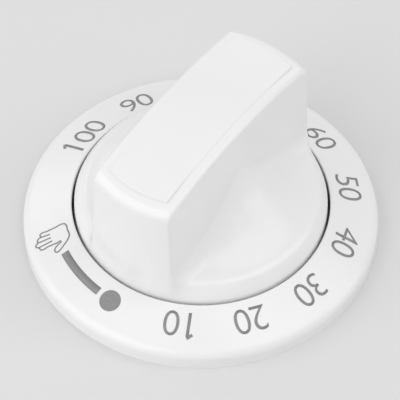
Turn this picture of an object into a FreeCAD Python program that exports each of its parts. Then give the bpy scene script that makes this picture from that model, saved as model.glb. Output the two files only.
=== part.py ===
"""Oven timer control knob: a moulded bar-grip knob, its dial ring and the spring clip on its hub.

The axis of the shaft is Z. The back edge of the dial ring lies on Z = 0 and the grip stands up along +Z.
The grip runs along Y, and its -Y end is the one that points at zero on the dial.
"""
import FreeCAD
import Part
import Sketcher
import math
import os

doc = FreeCAD.newDocument("oven_timer_knob")

# Driving sizes in millimetres and degrees
SIZES = [
    ("ring_dia", 62.0, "dial ring, outside diameter"),
    ("ring_wall_height", 2.1, "dial ring, straight part of the outer wall"),
    ("ring_edge_round", 1.8, "dial ring, rounding between outer wall and printed face"),
    ("ring_slope", 22.0, "dial ring, slope of the printed face"),
    ("ring_shell", 1.8, "dial ring, wall of the channel section"),
    ("collar_low", 1.0, "dial ring and knob skirt, height of their lower edges above the back plane"),
    ("ring_inner_round", 0.35, "dial ring, rounding of the inner upper edge"),
    ("ring_rib_count", 12, "dial ring, radial ribs under the printed face"),
    ("rib_wall", 1.3, "ribs, thickness"),
    ("gap", 0.45, "annular gap between skirt and ring"),
    ("skirt_dia", 44.1, "knob skirt, diameter level with the upper inner edge of the ring"),
    ("end_draft", 1.5, "knob, draft of the skirt and of the grip's ends"),
    ("rim_height", 11.3, "knob, height of the rim above the back plane"),
    ("rim_land", 1.5, "knob, level land inside the rim"),
    ("bell_sink", 0.17, "knob, how far the bell's hollow curve ends inside the side walls of the grip"),
    ("grip_height", 31.0, "knob, height of the crown above the back plane"),
    ("grip_width", 15.4, "grip, width between the side walls at the crown"),
    ("side_draft", 2.5, "grip, draft of the side walls"),
    ("crown_radius", 88.0, "grip, radius of the crown along its length"),
    ("crease_round", 2.8, "knob, fillet where the grip meets the bell"),
    ("end_round", 2.2, "grip, rounding between the crown and the ends"),
    ("edge_round", 0.8, "knob, rounding of the rim and of the outline of the grip's side walls"),
    ("panel_side", 1.85, "grip, border beside the raised panel"),
    ("panel_end", 2.4, "grip, border at the ends of the raised panel"),
    ("panel_rise", 0.12, "grip, height of the raised panel over the crown"),
    ("knob_wall", 2.0, "knob, wall thickness"),
    ("cavity_slope", 45.0, "knob, slope of the cone under the bell"),
    ("hub_dia", 11.9, "hub, outside diameter"),
    ("hub_low", 0.6, "hub, height of its lower face above the back plane"),
    ("bore_dia", 6.1, "hub, diameter of the shaft bore"),
    ("bore_flat", 5.1, "hub, flat of the bore to the opposite wall"),
    ("bore_depth", 15.0, "hub, depth of the bore"),
    ("slot_width", 1.2, "hub, width of the slots that let it spring"),
    ("slot_depth", 8.5, "hub, depth of those slots"),
    ("rib_low", 10.6, "grip hollow, height of the lower edges of the ribs"),
    ("cross_rib_place", 11.5, "grip hollow, distance of the cross ribs from the axis"),
    ("clip_wall", 0.6, "spring clip, thickness of the band"),
    ("clip_width", 3.6, "spring clip, width of the band"),
    ("clip_low", 3.2, "spring clip, height of its lower edge above the back plane"),
    ("clip_opening", 50.0, "spring clip, angle of the opening"),
    ("clip_seat", 0.4, "hub, depth of the groove for the clip"),
    ("clip_clear", 0.05, "clearance above and below the clip in its groove"),
    ("tab_count", 3, "tabs of the ring and snap hooks of the knob, the first on the X axis"),
    ("tab_width", 8.0, "ring tab, width"),
    ("tab_wall", 1.6, "ring tab, thickness"),
    ("tab_low", 2.0, "ring tab, height of its lower face above the back plane"),
    ("tab_reach", 18.5, "ring tab, distance of its inner end from the axis"),
    ("tab_clear", 0.2, "side clearance of the tab in the notch of the skirt"),
    ("hook_width", 6.0, "snap hook, width"),
    ("hook_wall", 1.6, "snap hook, thickness of its stem"),
    ("hook_clear", 0.3, "clearance between the hook's stem and the tab's end"),
    ("hook_nose", 1.1, "snap hook, reach of the nose from the stem"),
    ("hook_land", 0.4, "snap hook, height of the upright face of the nose"),
    ("hook_low", 0.6, "snap hook, height of its lower end above the back plane"),
    ("hook_play", 0.1, "play between the nose and the tab"),
]

sheet = doc.addObject("Spreadsheet::Sheet", "Sizes")
for row, (alias, value, note) in enumerate(SIZES, start=1):
    sheet.set("A%d" % row, note)
    sheet.set("B%d" % row, str(value))
    sheet.setAlias("B%d" % row, alias)
doc.recompute()


class Size:
    """A size that keeps its sheet expression beside its value, so that sums of sizes stay bound to the sheet."""

    def __init__(self, text, value):
        self.text = text
        self.value = value

    def combine(self, sign, other, value):
        return Size("(%s %s %s)" % (self.text, sign, other.text), value)

    def __add__(self, other):
        other = as_size(other)
        return self.combine("+", other, self.value + other.value)

    def __sub__(self, other):
        other = as_size(other)
        return self.combine("-", other, self.value - other.value)

    def __mul__(self, other):
        other = as_size(other)
        return self.combine("*", other, self.value * other.value)

    def __truediv__(self, other):
        other = as_size(other)
        return self.combine("/", other, self.value / other.value)

    def __neg__(self):
        return Size("(-1 * %s)" % self.text, -self.value)


def as_size(thing):
    return thing if isinstance(thing, Size) else Size(repr(float(thing)), float(thing))


def size(alias):
    return Size("Sizes." + alias, float(sheet.get(alias)))


def sine(angle):
    return Size("sin(%s)" % angle.text, math.sin(math.radians(angle.value)))


def cosine(angle):
    return Size("cos(%s)" % angle.text, math.cos(math.radians(angle.value)))


def tangent(angle):
    return Size("tan(%s)" % angle.text, math.tan(math.radians(angle.value)))


def root(length):
    return Size("sqrt(%s)" % length.text, math.sqrt(length.value))


def bind(thing, place, length):
    thing.setExpression(place, as_size(length).text)


def new_body(label):
    body = doc.addObject("PartDesign::Body", label)
    body.Label = label
    return body


def origin_part(body, role):
    return next(part for part in body.Origin.OriginFeatures if part.Role == role)


def new_sketch(body, name, plane, shift=None, swing=None):
    """A sketch on one of the body's own planes, moved along its normal by shift or swung about its own Y axis."""
    sketch = body.newObject("Sketcher::SketchObject", name)
    sketch.AttachmentSupport = [(origin_part(body, plane), "")]
    sketch.MapMode = "FlatFace"
    if shift is not None:
        bind(sketch, "AttachmentOffset.Base.z", shift)
    if swing is not None:
        sketch.AttachmentOffset = FreeCAD.Placement(FreeCAD.Vector(), FreeCAD.Rotation(0, swing.value, 0))
        bind(sketch, "AttachmentOffset.Rotation.Angle", swing)
    return sketch


def pin_down(sketch, edge, end, along_x, along_y):
    """Ties one end of an edge to its coordinates, each of which is a size or 0."""
    for kind, axis, length in (("DistanceX", -2, along_x), ("DistanceY", -1, along_y)):
        if as_size(length).value == 0.0:
            sketch.addConstraint(Sketcher.Constraint("PointOnObject", edge, end, axis))
        else:
            where = sketch.addConstraint(Sketcher.Constraint(kind, -1, 1, edge, end, as_size(length).value))
            bind(sketch, "Constraints[%d]" % where, length)


def draw_outline(sketch, corners):
    """A closed outline through corners (x, y) or (x, y, radius).

    A radius makes the edge that leaves the corner an arc: centre on the left if positive, on the right if not.
    """
    points = [FreeCAD.Vector(as_size(c[0]).value, as_size(c[1]).value, 0) for c in corners]
    starts = []
    ends = []
    for index, corner in enumerate(corners):
        first = points[index]
        last = points[(index + 1) % len(points)]
        if len(corner) == 2:
            edge = sketch.addGeometry(Part.LineSegment(first, last), False)
            starts.append((edge, 1))
            ends.append((edge, 2))
            continue
        radius = as_size(corner[2])
        chord = last - first
        to_left = FreeCAD.Vector(-chord.y, chord.x, 0).normalize()
        rise = math.sqrt(radius.value ** 2 - chord.Length ** 2 / 4)
        turns_left = radius.value > 0
        centre = (first + last) / 2 + to_left * (rise if turns_left else -rise)
        begin, finish = (first, last) if turns_left else (last, first)
        angles = [math.atan2((p - centre).y, (p - centre).x) for p in (begin, finish)]
        circle = Part.Circle(centre, FreeCAD.Vector(0, 0, 1), abs(radius.value))
        edge = sketch.addGeometry(Part.ArcOfCircle(circle, angles[0], angles[1]), False)
        starts.append((edge, 1 if turns_left else 2))
        ends.append((edge, 2 if turns_left else 1))
        where = sketch.addConstraint(Sketcher.Constraint("Radius", edge, abs(radius.value)))
        bind(sketch, "Constraints[%d]" % where, radius if turns_left else -radius)
    for index, corner in enumerate(corners):
        joint = Sketcher.Constraint("Coincident", *ends[index - 1], *starts[index])
        sketch.addConstraint(joint)
        pin_down(sketch, *starts[index], corner[0], corner[1])


def draw_circle(sketch, radius):
    edge = sketch.addGeometry(Part.Circle(FreeCAD.Vector(0, 0, 0), FreeCAD.Vector(0, 0, 1), radius.value), False)
    sketch.addConstraint(Sketcher.Constraint("Coincident", edge, 3, -1, 1))
    where = sketch.addConstraint(Sketcher.Constraint("Radius", edge, radius.value))
    bind(sketch, "Constraints[%d]" % where, radius)


def turn(body, kind, name, sketch):
    """A full turn of the sketch about Z, added or cut away."""
    feature = body.newObject("PartDesign::" + kind, name)
    feature.Profile = sketch
    feature.ReferenceAxis = (origin_part(body, "Z_Axis"), [""])
    feature.Angle = 360.0
    return feature


def extrude(body, kind, name, sketch, length, both_ways=False, backwards=False):
    feature = body.newObject("PartDesign::" + kind, name)
    feature.Profile = sketch
    bind(feature, "Length", length)
    if both_ways:
        feature.SideType = "Symmetric"
    feature.Reversed = backwards
    return feature


def repeat_round(body, name, features, count):
    """Copies features evenly round Z."""
    pattern = body.newObject("PartDesign::PolarPattern", name)
    pattern.Originals = features
    pattern.Axis = (origin_part(body, "Z_Axis"), [""])
    pattern.Angle = 360.0
    bind(pattern, "Occurrences", count)
    body.Tip = pattern
    return pattern


def round_edges(body, name, base, radius, wanted):
    """Fillets the edges of base for which wanted(edge, faces) holds."""
    doc.recompute()
    shape = base.Shape
    names = []
    for index, edge in enumerate(shape.Edges, start=1):
        faces = shape.ancestorsOfType(edge, Part.Face)
        if len(faces) == 2 and wanted(edge, faces):
            names.append("Edge%d" % index)
    fillet = body.newObject("PartDesign::Fillet", name)
    fillet.Base = (base, names)
    bind(fillet, "Radius", radius)
    return fillet


# Shared radii and heights
ring_radius = size("ring_dia") / 2
slope_rise = tangent(size("ring_slope"))
edge_centre = ring_radius - size("ring_edge_round")
slope_start = edge_centre + size("ring_edge_round") * sine(size("ring_slope"))
slope_low = size("ring_wall_height") + size("ring_edge_round") * cosine(size("ring_slope"))
skirt_radius = size("skirt_dia") / 2
bore_edge = skirt_radius + size("gap")
slope_top = slope_low + (slope_start - bore_edge) * slope_rise
end_lean = tangent(size("end_draft"))
collar_drop = slope_top - size("collar_low")
skirt_low_radius = skirt_radius + collar_drop * end_lean
collar_low_radius = bore_edge + collar_drop * end_lean
tab_top = size("tab_low") + size("tab_wall")

# Dial ring: channel section with a rounded inner edge, turned about the axis
ring = new_body("dial_ring")
section = new_sketch(ring, "ring_section", "XZ_Plane")
channel_outer = ring_radius - size("ring_shell")
channel_inner = collar_low_radius + size("ring_shell")
shell_drop = size("ring_shell") / cosine(size("ring_slope"))
inner_corner = as_size(90) - size("end_draft") - size("ring_slope")
inner_setback = size("ring_inner_round") * tangent(inner_corner / 2)
draw_outline(section, [
    (collar_low_radius, size("collar_low")),
    (channel_inner, size("collar_low")),
    (channel_inner, slope_low + (slope_start - channel_inner) * slope_rise - shell_drop),
    (channel_outer, slope_low + (slope_start - channel_outer) * slope_rise - shell_drop),
    (channel_outer, 0),
    (ring_radius, 0),
    (ring_radius, size("ring_wall_height"), size("ring_edge_round")),
    (slope_start, slope_low),
    (
        bore_edge + inner_setback * cosine(size("ring_slope")),
        slope_top - inner_setback * sine(size("ring_slope")),
        size("ring_inner_round"),
    ),
    (
        bore_edge + inner_setback * sine(size("end_draft")),
        slope_top - inner_setback * cosine(size("end_draft")),
    ),
])
ring_turned = turn(ring, "Revolution", "ring_turned", section)

# Radial ribs in the channel
rib_plan = new_sketch(ring, "ring_rib_plan", "XZ_Plane")
rib_overlap = size("ring_shell") / 2
rib_inner = channel_inner - rib_overlap
rib_outer = channel_outer + rib_overlap
draw_outline(rib_plan, [
    (rib_inner, size("collar_low")),
    (rib_outer, size("collar_low")),
    (rib_outer, slope_low + (slope_start - rib_outer) * slope_rise - rib_overlap),
    (rib_inner, slope_low + (slope_start - rib_inner) * slope_rise - rib_overlap),
])
ring_rib = extrude(ring, "Pad", "ring_rib", rib_plan, size("rib_wall"), both_ways=True)
ring_ribs = repeat_round(ring, "ring_ribs", [ring_rib], size("ring_rib_count"))

# Tabs that reach in under the knob
tab_plan = new_sketch(ring, "tab_plan", "XZ_Plane")
tab_root = channel_inner - rib_overlap
draw_outline(tab_plan, [
    (size("tab_reach"), size("tab_low")),
    (tab_root, size("tab_low")),
    (tab_root, tab_top),
    (size("tab_reach"), tab_top),
])
ring_tab = extrude(ring, "Pad", "ring_tab", tab_plan, size("tab_width"), both_ways=True)
ring_tabs = repeat_round(ring, "ring_tabs", [ring_tab], size("tab_count"))

# Knob: the bell and the bar, both trimmed by one drafted cone so that the grip's ends run on into the skirt
knob = new_body("knob_body")
rim = size("rim_height")
grip_top = size("grip_height")
grip_half = size("grip_width") / 2
side_lean = tangent(size("side_draft"))
wall = size("knob_wall")
trim_radius = skirt_low_radius + wall
rim_radius = skirt_radius - (rim - slope_top) * end_lean
land_radius = rim_radius - size("rim_land")
bell_reach = land_radius - grip_half - (grip_top - rim) * side_lean + size("bell_sink")
bell_round = bell_reach / (as_size(1) - side_lean)
bell_top = rim + bell_round
bell_section = new_sketch(knob, "bell_section", "XZ_Plane")
draw_outline(bell_section, [
    (0, size("collar_low")),
    (trim_radius, size("collar_low")),
    (trim_radius, rim),
    (land_radius, rim, -bell_round),
    (land_radius - bell_round, bell_top),
    (0, bell_top),
])
bell = turn(knob, "Revolution", "bell", bell_section)

floor_low = rim - wall
foot_half = grip_half + (grip_top - floor_low) * side_lean
grip_section = new_sketch(knob, "grip_section", "XZ_Plane")
draw_outline(grip_section, [
    (-foot_half, floor_low),
    (foot_half, floor_low),
    (grip_half, grip_top),
    (-grip_half, grip_top),
])
grip = extrude(knob, "Pad", "grip", grip_section, trim_radius * 2, both_ways=True)

top_radius = skirt_radius - (grip_top - slope_top) * end_lean
trim_reach = trim_radius + foot_half
trim_section = new_sketch(knob, "trim_section", "XZ_Plane")
draw_outline(trim_section, [
    (skirt_low_radius, size("collar_low")),
    (trim_reach, size("collar_low")),
    (trim_reach, grip_top),
    (top_radius, grip_top),
])
trim = turn(knob, "Groove", "end_trim", trim_section)


def crown_height(along, depth):
    """Height of the surface that lies depth under the crown, at a distance along the grip from the axis."""
    radius = size("crown_radius") - depth
    return grip_top - size("crown_radius") + root(radius * radius - along * along)


crown_section = new_sketch(knob, "crown_section", "YZ_Plane")
crown_end = crown_height(trim_radius, 0)
draw_outline(crown_section, [
    (trim_radius, crown_end, size("crown_radius")),
    (-trim_radius, crown_end),
    (-trim_radius, grip_top + wall),
    (trim_radius, grip_top + wall),
])
crown = extrude(knob, "Pocket", "crown", crown_section, foot_half * 2, both_ways=True)


def is_side_wall(face):
    return isinstance(face.Surface, Part.Plane) and abs(face.normalAt(0, 0).x) > 0.9


def is_outer_cone(face):
    return isinstance(face.Surface, Part.Cone)


def is_crown(face):
    return isinstance(face.Surface, Part.Cylinder) and abs(face.Surface.Radius - size("crown_radius").value) < 0.01


def meets(faces, one, other):
    return one(faces[0]) and other(faces[1]) or one(faces[1]) and other(faces[0])


crease = round_edges(
    knob, "crease", crown, size("crease_round"),
    lambda edge, faces: meets(faces, is_side_wall, lambda face: not is_outer_cone(face) and not is_crown(face)))
end_edges = round_edges(
    knob, "end_edges", crease, size("end_round"),
    lambda edge, faces: meets(faces, is_crown, is_outer_cone))
middle = (rim + grip_top) / 2


def is_outline(edge, faces):
    """Edges of the rim, and the edges round each side wall apart from its crease."""
    box = edge.BoundBox
    if meets(faces, is_side_wall, is_outer_cone):
        return True
    if any(is_side_wall(face) for face in faces):
        return box.ZMin > middle.value
    return any(is_outer_cone(face) for face in faces) and floor_low.value < box.ZMax < middle.value


outer_edges = round_edges(knob, "outer_edges", end_edges, size("edge_round"), is_outline)

# Raised panel on the crown, with ends that follow the ends of the grip
panel_half = grip_half - size("panel_side")
panel_radius = top_radius - size("panel_end")
panel_corner = root(panel_radius * panel_radius - panel_half * panel_half)
panel_plan = new_sketch(knob, "panel_plan", "XY_Plane", shift=middle)
draw_outline(panel_plan, [
    (panel_half, -panel_corner),
    (panel_half, panel_corner, panel_radius),
    (-panel_half, panel_corner),
    (-panel_half, -panel_corner, panel_radius),
])
doc.recompute()
crown_face = next(i for i, face in enumerate(outer_edges.Shape.Faces, start=1) if is_crown(face))
panel = knob.newObject("PartDesign::Pad", "panel")
panel.Profile = panel_plan
panel.Type = "UpToFace"
panel.UpToFace = (outer_edges, ["Face%d" % crown_face])
bind(panel, "Offset", size("panel_rise"))

# Underside: a cavity with a cone under the bell, and a hollow up inside the grip
skirt_inner = skirt_low_radius - wall
floor_edge = skirt_inner - (floor_low - size("collar_low")) * end_lean
cone_foot = land_radius - (bell_round + wall) * tangent(size("cavity_slope") / 2)
cavity_section = new_sketch(knob, "cavity_section", "XZ_Plane")
draw_outline(cavity_section, [
    (0, size("collar_low")),
    (skirt_inner, size("collar_low")),
    (floor_edge, floor_low),
    (cone_foot, floor_low),
    (0, floor_low + cone_foot * tangent(size("cavity_slope"))),
])
cavity = turn(knob, "Groove", "cavity", cavity_section)

hollow_half = grip_half - wall
hollow_end = root(top_radius * top_radius - hollow_half * hollow_half) - wall
hollow_roof = crown_height(hollow_end, wall)
hollow_section = new_sketch(knob, "hollow_section", "YZ_Plane")
draw_outline(hollow_section, [
    (-hollow_end, size("collar_low")),
    (hollow_end, size("collar_low")),
    (hollow_end, hollow_roof, size("crown_radius") - wall),
    (-hollow_end, hollow_roof),
])
hollow = extrude(knob, "Pocket", "hollow", hollow_section, hollow_half * 2, both_ways=True)

# Hub and ribs, which end inside the roof and the walls of the grip
into_wall = wall / 2
hub_radius = size("hub_dia") / 2
hub_plan = new_sketch(knob, "hub_plan", "XY_Plane", shift=size("hub_low"))
draw_circle(hub_plan, hub_radius)
hub = extrude(knob, "Pad", "hub", hub_plan, grip_top - into_wall - size("hub_low"))

rib_end = hollow_end + into_wall
rib_top = crown_height(rib_end, into_wall)
long_rib_section = new_sketch(knob, "long_rib_section", "YZ_Plane")
draw_outline(long_rib_section, [
    (-rib_end, size("rib_low")),
    (rib_end, size("rib_low")),
    (rib_end, rib_top, size("crown_radius") - into_wall),
    (-rib_end, rib_top),
])
long_rib = extrude(knob, "Pad", "long_rib", long_rib_section, size("rib_wall"), both_ways=True)

cross_half = hollow_half + into_wall
cross_top = crown_height(size("cross_rib_place"), into_wall)
cross_ribs = []
for name, place in (("near", size("cross_rib_place")), ("far", -size("cross_rib_place"))):
    cross_section = new_sketch(knob, name + "_rib_section", "XZ_Plane", shift=place)
    draw_outline(cross_section, [
        (-cross_half, size("rib_low")),
        (cross_half, size("rib_low")),
        (cross_half, cross_top),
        (-cross_half, cross_top),
    ])
    cross_ribs.append(extrude(knob, "Pad", name + "_rib", cross_section, size("rib_wall"), both_ways=True))

# Bore with a flat for the shaft, slots that let the hub spring, and the groove for the clip
bore_radius = size("bore_dia") / 2
flat_place = size("bore_flat") - bore_radius
flat_half = root(bore_radius * bore_radius - flat_place * flat_place)
bore_plan = new_sketch(knob, "bore_plan", "XY_Plane", shift=size("hub_low"))
draw_outline(bore_plan, [
    (flat_place, -flat_half),
    (flat_place, flat_half, bore_radius),
    (-bore_radius, 0, bore_radius),
])
bore = extrude(knob, "Pocket", "bore", bore_plan, size("bore_depth"), backwards=True)

slot_half = size("slot_width") / 2
slot_plan = new_sketch(knob, "slot_plan", "XY_Plane", shift=size("hub_low"))
draw_outline(slot_plan, [
    (-slot_half, -hub_radius - into_wall),
    (slot_half, -hub_radius - into_wall),
    (slot_half, hub_radius + into_wall),
    (-slot_half, hub_radius + into_wall),
])
slots = extrude(knob, "Pocket", "slots", slot_plan, size("slot_depth"), backwards=True)

clip_high = size("clip_low") + size("clip_width")
clip_inner = hub_radius - size("clip_seat")
seat_section = new_sketch(knob, "clip_seat_section", "XZ_Plane")
draw_outline(seat_section, [
    (clip_inner, size("clip_low") - size("clip_clear")),
    (hub_radius + into_wall, size("clip_low") - size("clip_clear")),
    (hub_radius + into_wall, clip_high + size("clip_clear")),
    (clip_inner, clip_high + size("clip_clear")),
])
seat = turn(knob, "Groove", "clip_seat", seat_section)

# Notches in the skirt that sit on the tabs of the ring, and the snap hooks that catch under them
notch_section = new_sketch(knob, "notch_section", "XZ_Plane")
draw_outline(notch_section, [
    (skirt_inner - into_wall, 0),
    (skirt_low_radius + into_wall, 0),
    (skirt_low_radius + into_wall, tab_top),
    (skirt_inner - into_wall, tab_top),
])
notch_width = size("tab_width") + size("tab_clear") * 2
notch = extrude(knob, "Pocket", "notch", notch_section, notch_width, both_ways=True)
notches = repeat_round(knob, "notches", [notch], size("tab_count"))

hook_outer = size("tab_reach") - size("hook_clear")
hook_inner = hook_outer - size("hook_wall")
hook_catch = size("tab_low") - size("hook_play")
hook_section = new_sketch(knob, "hook_section", "XZ_Plane")
draw_outline(hook_section, [
    (hook_inner, size("hook_low")),
    (hook_outer, size("hook_low")),
    (hook_outer + size("hook_nose"), hook_catch - size("hook_land")),
    (hook_outer + size("hook_nose"), hook_catch),
    (hook_outer, hook_catch),
    (hook_outer, rim - into_wall),
    (hook_inner, rim - into_wall),
])
hook = extrude(knob, "Pad", "hook", hook_section, size("hook_width"), both_ways=True)
hooks = repeat_round(knob, "hooks", [hook], size("tab_count"))

# Spring clip: an open steel band round the slotted hub, its opening over one slot
clip = new_body("hub_clip")
clip_start = size("clip_opening") / 2 + 90
clip_section = new_sketch(clip, "clip_section", "XZ_Plane", swing=clip_start)
draw_outline(clip_section, [
    (clip_inner, size("clip_low")),
    (clip_inner + size("clip_wall"), size("clip_low")),
    (clip_inner + size("clip_wall"), clip_high),
    (clip_inner, clip_high),
])
band = turn(clip, "Revolution", "band", clip_section)
bind(band, "Angle", as_size(360) - size("clip_opening"))

doc.recompute()
for thing in doc.Objects:
    if "Invalid" in thing.State or "Error" in thing.State:
        raise RuntimeError("%s does not build" % thing.Name)
os.makedirs("parts", exist_ok=True)
for node in (knob, ring, clip):
    if node.Shape.isNull() or not node.Shape.isValid():
        raise RuntimeError("%s has no sound shape" % node.Label)
    node.Shape.exportStep("parts/%s.step" % node.Label)
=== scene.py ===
"""Oven timer control knob: finishes of the mouldings, the printed dial, floor, light and camera."""
import math

import bmesh
import bpy
from mathutils import Matrix, Vector


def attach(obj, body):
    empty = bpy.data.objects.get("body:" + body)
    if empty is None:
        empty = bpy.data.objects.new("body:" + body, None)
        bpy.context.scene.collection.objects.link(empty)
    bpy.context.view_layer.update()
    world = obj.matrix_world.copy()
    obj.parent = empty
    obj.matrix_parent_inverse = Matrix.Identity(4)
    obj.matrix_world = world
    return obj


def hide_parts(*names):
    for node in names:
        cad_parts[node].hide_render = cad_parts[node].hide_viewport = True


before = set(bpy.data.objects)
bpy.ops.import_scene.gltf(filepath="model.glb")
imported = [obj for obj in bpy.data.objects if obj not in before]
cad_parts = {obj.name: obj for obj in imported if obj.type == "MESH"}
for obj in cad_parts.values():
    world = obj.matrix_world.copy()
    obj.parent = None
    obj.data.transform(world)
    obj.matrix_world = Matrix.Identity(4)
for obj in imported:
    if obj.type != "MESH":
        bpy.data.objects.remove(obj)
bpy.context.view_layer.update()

# Knob body: the bar grip, the bell and the skirt, one moulding of gloss white plastic.
# It comes from a polished mould, and its skin is a little uneven in tone, gloss and level.
# Notches in its skirt sit on the tabs of the dial ring, and hooks inside it snap under them.
WHITE = (0.83, 0.83, 0.832, 1.0)
plastic_ior = 1.5
knob_roughness = 0.2
skin_waviness = 0.01
tone_scale = 90.0
tone_detail = 3.0
tone_range = (0.985, 1.0)
haze_scale = 260.0
haze_detail = 4.0
haze_range = (0.88, 1.12)
ripple_scale = 700.0
ripple_detail = 1.0
ripple_depth = 0.0004
noise_middle = (0.3, 0.7)


def new_material(name):
    """A new material, with its node tree and its shader."""
    material = bpy.data.materials.new(name)
    material.use_nodes = True
    return material, material.node_tree, material.node_tree.nodes["Principled BSDF"]


def new_socket(group, name, kind, way, value=None):
    socket = group.interface.new_socket(name=name, socket_type=kind, in_out=way)
    if value is not None:
        socket.default_value = value


def soft_noise(tree, place, scale, detail):
    """Soft random patches over a piece. The larger the scale, the smaller they are."""
    noise = tree.nodes.new("ShaderNodeTexNoise")
    noise.inputs["Scale"].default_value = scale
    noise.inputs["Detail"].default_value = detail
    tree.links.new(place, noise.inputs["Vector"])
    return noise.outputs["Fac"]


def fit_range(tree, value, given, wanted):
    """Brings a value from the range given to the range wanted."""
    fit = tree.nodes.new("ShaderNodeMapRange")
    for name, limit in zip(("From Min", "From Max", "To Min", "To Max"), given + wanted):
        fit.inputs[name].default_value = limit
    tree.links.new(value, fit.inputs["Value"])
    return fit.outputs["Result"]


def moulded_skin():
    """Node group: a tone and a gloss that wander over a moulding, and the faint ripple of its skin."""
    group = bpy.data.node_groups.new("moulded_skin", "ShaderNodeTree")
    new_socket(group, "Colour", "NodeSocketColor", "INPUT", WHITE)
    new_socket(group, "Roughness", "NodeSocketFloat", "INPUT", knob_roughness)
    new_socket(group, "Waviness", "NodeSocketFloat", "INPUT", skin_waviness)
    new_socket(group, "Colour", "NodeSocketColor", "OUTPUT")
    new_socket(group, "Roughness", "NodeSocketFloat", "OUTPUT")
    new_socket(group, "Normal", "NodeSocketVector", "OUTPUT")
    nodes, links = group.nodes, group.links
    inside = nodes.new("NodeGroupInput")
    outside = nodes.new("NodeGroupOutput")
    place = nodes.new("ShaderNodeTexCoord").outputs["Object"]

    clouds = soft_noise(group, place, tone_scale, tone_detail)
    tinted = nodes.new("ShaderNodeVectorMath")
    tinted.operation = "SCALE"
    links.new(inside.outputs["Colour"], tinted.inputs["Vector"])
    links.new(fit_range(group, clouds, noise_middle, tone_range), tinted.inputs["Scale"])
    links.new(tinted.outputs["Vector"], outside.inputs["Colour"])

    haze = soft_noise(group, place, haze_scale, haze_detail)
    gloss = nodes.new("ShaderNodeMath")
    gloss.operation = "MULTIPLY"
    links.new(inside.outputs["Roughness"], gloss.inputs[0])
    links.new(fit_range(group, haze, noise_middle, haze_range), gloss.inputs[1])
    links.new(gloss.outputs["Value"], outside.inputs["Roughness"])

    ripple = soft_noise(group, place, ripple_scale, ripple_detail)
    bump = nodes.new("ShaderNodeBump")
    bump.inputs["Distance"].default_value = ripple_depth
    links.new(inside.outputs["Waviness"], bump.inputs["Strength"])
    links.new(ripple, bump.inputs["Height"])
    links.new(bump.outputs["Normal"], outside.inputs["Normal"])
    return group


skin = moulded_skin()


def white_plastic(name, roughness):
    material, tree, shader = new_material(name)
    shader.inputs["IOR"].default_value = plastic_ior
    finish = tree.nodes.new("ShaderNodeGroup")
    finish.node_tree = skin
    finish.inputs["Colour"].default_value = WHITE
    finish.inputs["Roughness"].default_value = roughness
    finish.inputs["Waviness"].default_value = skin_waviness
    tree.links.new(finish.outputs["Colour"], shader.inputs["Base Color"])
    tree.links.new(finish.outputs["Roughness"], shader.inputs["Roughness"])
    tree.links.new(finish.outputs["Normal"], shader.inputs["Normal"])
    return material


# The rim of the real knob is lower and further in than the solid's, over a shoulder that leans inwards.
# Its raised panel is nearly flush along the sides and stands proud at both ends.
rim_height = 0.0113  # of the solid
rim_drop = 0.0015
rim_draw = 0.0015
skirt_start = 0.0069  # height at which the shoulder begins
skirt_radius = 0.022
shoulder_bulge = 1.3  # a straight shoulder has 1
bell_start = 0.012  # distance from the axis at which the floor begins to fall
crease_end = 0.0175  # height on the grip at which the fall has faded out
grip_foot = 0.0080  # distance from the grip's middle plane at which the draw begins
shoulder_foot = 0.0120  # and at which it has its full measure
crown_height = 0.031
crown_radius = 0.088
panel_edge = 0.0062  # the panel lies within this distance of the grip's middle plane
panel_step = 0.00006  # and at least this far above the crown
panel_sink = 0.00006
panel_lift = 0.00026
lift_start = 0.010  # distance along the grip at which the panel begins to rise
lift_end = 0.018
merge_distance = 1e-7
longest_edge = 0.001
halvings = 5
sharp_corner = math.radians(32.0)


def share(value, low, high):
    """How far value has come from low to high, from 0 to 1."""
    return min(max((value - low) / (high - low), 0.0), 1.0)


def ease(value, low, high):
    """The same with a soft start and a soft end."""
    part = share(value, low, high)
    return part * part * (3.0 - 2.0 * part)


def with_low_rim(place):
    """Where a point of the solid lies once the floor is let down and the rim drawn in beside the grip."""
    radius = place.xy.length
    rise = share(place.z, skirt_start, rim_height)
    beside_grip = ease(abs(place.x), grip_foot, shoulder_foot)
    outward = share(radius, bell_start, skirt_radius)
    inward = rim_draw * rise ** shoulder_bulge * beside_grip * outward
    drop = rim_drop * rise * outward * (1.0 - ease(place.z, rim_height, crease_end))
    narrowed = 1.0 - inward / max(radius, bell_start)
    return Vector((place.x * narrowed, place.y * narrowed, place.z - drop))


def panel_rise(place):
    """How far a point of the solid's raised panel goes up. Other points stay."""
    crown = crown_height - crown_radius + math.sqrt(crown_radius ** 2 - place.y ** 2)
    if abs(place.x) >= panel_edge or place.z <= crown + panel_step:
        return 0.0
    return panel_lift * ease(abs(place.y), lift_start, lift_end) - panel_sink


def select_only(pieces):
    bpy.ops.object.select_all(action="DESELECT")
    for piece in pieces:
        piece.select_set(True)
    bpy.context.view_layer.objects.active = pieces[0]


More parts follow.
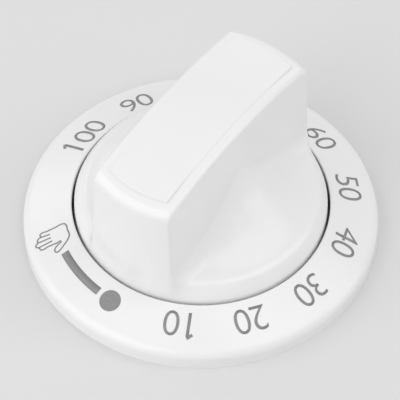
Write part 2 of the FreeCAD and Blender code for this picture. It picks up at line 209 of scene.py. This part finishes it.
knob = bpy.data.objects.new("knob_moulding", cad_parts["knob_body"].data.copy())
bpy.context.scene.collection.objects.link(knob)
select_only([knob])
bpy.ops.mesh.customdata_custom_splitnormals_clear()
shape = bmesh.new()
shape.from_mesh(knob.data)
bmesh.ops.remove_doubles(shape, verts=shape.verts, dist=merge_distance)
for halving in range(halvings):
    long_edges = [
        edge for edge in shape.edges
        if edge.calc_length() > longest_edge
        and min(corner.co.z for corner in edge.verts) < crease_end
        and max(corner.co.z for corner in edge.verts) > skirt_start]
    bmesh.ops.subdivide_edges(shape, edges=long_edges, cuts=1)
    bmesh.ops.triangulate(shape, faces=[face for face in shape.faces if len(face.verts) > 3])
for corner in shape.verts:
    rise = Vector((0.0, 0.0, panel_rise(corner.co)))
    corner.co = with_low_rim(corner.co) + rise
shape.to_mesh(knob.data)
shape.free()
bpy.ops.object.shade_smooth_by_angle(angle=sharp_corner)
even = knob.modifiers.new("even", "WEIGHTED_NORMAL")
even.keep_sharp = True
bpy.ops.object.modifier_apply(modifier="even")
knob.data.materials.clear()
knob.data.materials.append(white_plastic("knob_white_gloss", knob_roughness))
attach(knob, "root")
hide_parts("knob_body")

# Dial ring: a second moulding of the same white plastic, sloping to a rounded outer edge.
# Three tabs under the knob hold it, and the open gap round the skirt stays dark.
dial_roughness = 0.24


def dress(node, material):
    """Gives a piece of the frame its finish."""
    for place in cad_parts[node].material_slots:
        place.material = material


dress("dial_ring", white_plastic("dial_white_gloss", dial_roughness))

# Hub clip: a band of spring steel strip that grips the slotted hub under the knob.
# It is rolled round the hub and seated in its groove, and the strip has fine streaks along its length.
STEEL = (0.56, 0.56, 0.57, 1.0)
streak_stretch = (60.0, 60.0, 4000.0)
streak_scale = 1.0
streak_detail = 2.0
streak_roughness = (0.22, 0.42)
clip_steel, tree, shader = new_material("clip_spring_steel")
shader.inputs["Metallic"].default_value = 1.0
shader.inputs["Base Color"].default_value = STEEL
place = tree.nodes.new("ShaderNodeTexCoord").outputs["Object"]
along = tree.nodes.new("ShaderNodeMapping")
along.inputs["Scale"].default_value = streak_stretch
tree.links.new(place, along.inputs["Vector"])
streaks = soft_noise(tree, along.outputs["Vector"], streak_scale, streak_detail)
tree.links.new(fit_range(tree, streaks, (0.0, 1.0), streak_roughness), shader.inputs["Roughness"])
dress("hub_clip", clip_steel)

# Printed numerals: the minutes from 10 to 100 in grey ink on the dial ring, tops outwards.
# Pad-printed ink lies as a thin film on the sloping face and is a little patchy.
# The whole row of numerals sits slightly off the ring's centre.
INK = (0.25, 0.25, 0.255, 1.0)
ink_roughness = 0.45
patch_scale = 1800.0
patch_detail = 3.0
patch_range = (0.92, 1.08)
film_thickness = 0.00002
drawing_height = 0.02  # where drawings lie until they are pressed on the dial
dial_slope = math.radians(22.0)
zero_angle = math.radians(270.0)
minute_angle = math.radians(2.7)
minute_step = 10
last_minute = 100
numeral_radius = 0.0258
print_shift = Vector((0.00038, 0.00014, 0.0))
figure_size = 0.0064
figure_pitch = 0.0030
figure_thinning = -0.00005
half_height_share = 0.343  # half the height of a figure, in type sizes
figure_middle = half_height_share * figure_size
flag_length = 0.00115  # slanting flag of the figure 1
flag_width = 0.00056
flag_tilt = math.radians(40.0)
flag_place = Vector((-0.0004, 0.0020))

ink, tree, shader = new_material("dial_ink")
shader.inputs["Roughness"].default_value = ink_roughness
place = tree.nodes.new("ShaderNodeTexCoord").outputs["Object"]
patches = soft_noise(tree, place, patch_scale, patch_detail)
inked = tree.nodes.new("ShaderNodeVectorMath")
inked.operation = "SCALE"
inked.inputs["Vector"].default_value = INK[:3]
tree.links.new(fit_range(tree, patches, noise_middle, patch_range), inked.inputs["Scale"])
tree.links.new(inked.outputs["Vector"], shader.inputs["Base Color"])


def place_on_dial(piece, angle, radius, across=0.0, outward=0.0, tilt=0.0, shift=Vector()):
    """Moves a flat drawing above the dial: its own up points outwards, and it reads clockwise."""
    out = Vector((math.cos(angle), math.sin(angle), 0.0))
    clockwise = Vector((out.y, -out.x, 0.0))
    piece.location = out * (radius + outward * math.cos(dial_slope)) + clockwise * across + shift
    piece.location.z = drawing_height
    piece.rotation_euler = (0.0, 0.0, angle - math.radians(90.0) + tilt)
    piece.scale.y *= math.cos(dial_slope)
    select_only([piece])
    bpy.ops.object.transform_apply(location=True, rotation=True, scale=True)


def press_on_dial(drawings, name):
    """Joins flat drawings into one piece and lays it on the face of the ring as a film of ink."""
    select_only(drawings)
    bpy.ops.object.join()
    piece = bpy.context.object
    piece.name = name
    press = piece.modifiers.new("press", "SHRINKWRAP")
    press.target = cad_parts["dial_ring"]
    press.wrap_method = "PROJECT"
    press.use_project_z = True
    press.use_positive_direction = False
    press.use_negative_direction = True
    press.offset = film_thickness
    film = piece.modifiers.new("film", "SOLIDIFY")
    film.thickness = film_thickness
    film.offset = 0.0
    bpy.ops.object.modifier_apply(modifier="press")
    bpy.ops.object.modifier_apply(modifier="film")
    piece.data.materials.clear()
    piece.data.materials.append(ink)
    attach(piece, "root")


figures = []
for minute in range(minute_step, last_minute + 1, minute_step):
    angle = zero_angle + minute * minute_angle
    digits = str(minute)
    for index, digit in enumerate(digits):
        across = (index - (len(digits) - 1) / 2) * figure_pitch
        bpy.ops.object.select_all(action="DESELECT")
        bpy.ops.object.text_add()
        figure = bpy.context.object
        figure.data.body = digit
        figure.data.align_x = "CENTER"
        figure.data.size = figure_size
        figure.data.offset = figure_thinning
        bpy.ops.object.convert(target="MESH")
        place_on_dial(figure, angle, numeral_radius, across, -figure_middle, shift=print_shift)
        figures.append(figure)
        if digit == "1":
            bpy.ops.object.select_all(action="DESELECT")
            bpy.ops.mesh.primitive_plane_add(size=1.0)
            flag = bpy.context.object
            flag.scale = (flag_length, flag_width, 1.0)
            place_on_dial(
                flag, angle, numeral_radius, across + flag_place.x, flag_place.y, flag_tilt, print_shift)
            figures.append(flag)
press_on_dial(figures, "printed_numerals")

# Printed zero: a round dot in the same ink, at the place that the end of the grip points at.
# It is part of the same print, and rings of faces let it follow the slope of the dial.
dot_radius = 0.0019
dot_place = 0.0259
dot_angle = zero_angle - math.radians(0.95)
dot_corners = 64
dot_rings = 3
bpy.ops.object.select_all(action="DESELECT")
bpy.ops.mesh.primitive_circle_add(vertices=dot_corners, radius=dot_radius, fill_type="NGON")
dot = bpy.context.object
bpy.ops.object.mode_set(mode="EDIT")
bpy.ops.mesh.select_all(action="SELECT")
for ring in range(dot_rings):
    bpy.ops.mesh.inset(thickness=dot_radius / (dot_rings + 1))
bpy.ops.object.mode_set(mode="OBJECT")
place_on_dial(dot, dot_angle, dot_place)
press_on_dial([dot], "printed_zero_dot")

# Printed bar: a thick curved line in the same ink, from beside the hand to just before the dot.
# It is part of the same print and runs round the dial at one distance from the middle.
bar_radius = 0.0257
bar_width = 0.00135
bar_start = 240.0
bar_end = 263.0
bar_knots = 9


def ribbon(points, width, closed):
    """A flat band of even width along a smooth line through points."""
    bpy.ops.object.select_all(action="DESELECT")
    bpy.ops.curve.primitive_bezier_curve_add()
    line = bpy.context.object
    line.data.twist_mode = "Z_UP"
    line.data.extrude = width / 2
    spline = line.data.splines[0]
    spline.bezier_points.add(len(points) - 2)
    for knot, (x, y) in zip(spline.bezier_points, points):
        knot.co = (x, y, 0.0)
        knot.handle_left_type = "AUTO"
        knot.handle_right_type = "AUTO"
        knot.tilt = math.radians(90.0)
    spline.use_cyclic_u = closed
    bpy.ops.object.convert(target="MESH")
    return bpy.context.object


bar_line = []
for index in range(bar_knots):
    angle = math.radians(bar_start + (bar_end - bar_start) * index / (bar_knots - 1))
    bar_line.append((bar_radius * math.cos(angle), bar_radius * math.sin(angle)))
bar = ribbon(bar_line, bar_width, False)
bar.location.z = drawing_height
select_only([bar])
bpy.ops.object.transform_apply(location=True, rotation=True, scale=True)
press_on_dial([bar], "printed_bar")

# Printed hand: the sign for use by hand, a plain open hand with its fingers outwards.
# It is part of the same print, in thin lines: one round the hand and three between the fingers.
MM = 0.001
hand_angle = math.radians(232.0)
hand_radius = 0.0262
hand_line = 0.00026
# Points of the lines in millimetres, across and outwards
hand_outline = [
    (2.05, 2.4), (2.1, 0.9), (2.1, -0.55), (2.1, -2.0), (1.85, -2.4), (0.4, -2.5), (-0.7, -2.5),
    (-1.4, -2.0), (-2.15, -1.0), (-2.75, -0.05), (-2.85, 0.55), (-2.4, 0.8), (-1.95, 0.55),
    (-1.5, -0.15), (-1.15, -0.75), (-1.1, 0.0), (-1.0, 1.65), (-1.0, 3.05), (-0.4, 3.3),
    (0.0, 3.75), (0.35, 3.65), (0.65, 3.25), (1.05, 3.2), (1.4, 2.9), (1.55, 2.45),
]
hand_fingers = [
    [(1.5, 2.45), (1.35, 1.55), (1.25, 0.7)],
    [(0.65, 3.2), (0.55, 2.0), (0.5, 0.75)],
    [(-0.35, 3.3), (-0.3, 1.95), (-0.25, 0.7)],
]
strokes = [ribbon([(x * MM, y * MM) for x, y in hand_outline], hand_line, True)]
for finger in hand_fingers:
    strokes.append(ribbon([(x * MM, y * MM) for x, y in finger], hand_line, False))
for stroke in strokes:
    place_on_dial(stroke, hand_angle, hand_radius)
press_on_dial(strokes, "printed_hand")

# Floor: a sheet of plain pale paper that the knob lies on, wide enough for every view.
# It belongs to the picture and not to the knob.
PALE = (0.7, 0.7, 0.7, 1.0)
paper_roughness = 0.9
floor_width = 4.0
bpy.ops.object.select_all(action="DESELECT")
bpy.ops.mesh.primitive_plane_add(size=floor_width, location=(0.0, 0.0, 0.0))
floor = bpy.context.object
floor.name = "floor"
paper, tree, shader = new_material("pale_paper")
shader.inputs["Base Color"].default_value = PALE
shader.inputs["Roughness"].default_value = paper_roughness
floor.data.materials.append(paper)

# Camera: a long lens that looks down on the zero end from a little to its right, as in the photo.
# Its place follows from the scale of the photo and from the pixel where the frame's origin lies there.
view_azimuth = math.radians(35.3)
view_elevation = math.radians(52.2)
view_roll = math.radians(0.6)
view_distance = 0.6
picture_width = 400
pixels_per_metre = 5702.0
origin_pixel = Vector((200.71, 223.45))
sensor_width = 36.0
nearest_seen = 0.01

ahead = Vector((
    -math.sin(view_azimuth) * math.cos(view_elevation),
    math.cos(view_azimuth) * math.cos(view_elevation),
    -math.sin(view_elevation)))
level = Vector((math.cos(view_azimuth), math.sin(view_azimuth), 0.0))
upward = level.cross(ahead)
right = level * math.cos(view_roll) + upward * math.sin(view_roll)
upward = right.cross(ahead)
off_centre = (origin_pixel - Vector((picture_width / 2, picture_width / 2))) / pixels_per_metre

camera = bpy.data.objects.new("camera", bpy.data.cameras.new("camera"))
bpy.context.scene.collection.objects.link(camera)
camera.matrix_world = Matrix((right, upward, -ahead)).transposed().to_4x4()
camera.location = -ahead * view_distance - right * off_centre.x + upward * off_centre.y
camera.data.sensor_width = sensor_width
camera.data.lens = pixels_per_metre * view_distance * sensor_width / picture_width
camera.data.clip_start = nearest_seen
bpy.context.scene.camera = camera

# Light: a white tent all round, with soft boxes in front, above, on both sides and behind.
# The boxes are wide for so small a thing, so the gloss shows broad pale patches and no hard spots.
tent_strength = 0.56
box_distance = 0.9
# Name, direction from the knob, width and power of each box
soft_boxes = (
    ("front_box", (-0.35, -0.79, 0.45), 1.2, 5.9),
    ("top_box", (0.50, 0.20, 0.84), 0.8, 2.4),
    ("right_box", (0.80, 0.50, 0.35), 0.45, 0.7),
    ("left_box", (-0.80, 0.20, 0.55), 0.3, 0.4),
    ("back_box", (-0.35, 0.82, 0.43), 0.5, 0.5),
)
world = bpy.data.worlds.new("white_tent")
bpy.context.scene.world = world
world.use_nodes = True
tent = world.node_tree.nodes["Background"]
tent.inputs["Color"].default_value = (1.0, 1.0, 1.0, 1.0)
tent.inputs["Strength"].default_value = tent_strength
for name, direction, width, power in soft_boxes:
    box = bpy.data.lights.new(name, "AREA")
    box.shape = "SQUARE"
    box.size = width
    box.energy = power
    lamp = bpy.data.objects.new(name, box)
    lamp.location = Vector(direction).normalized() * box_distance
    lamp.rotation_euler = (-lamp.location).to_track_quat("-Z", "Y").to_euler()
    bpy.context.scene.collection.objects.link(lamp)

bpy.context.scene.view_settings.view_transform = "Standard"
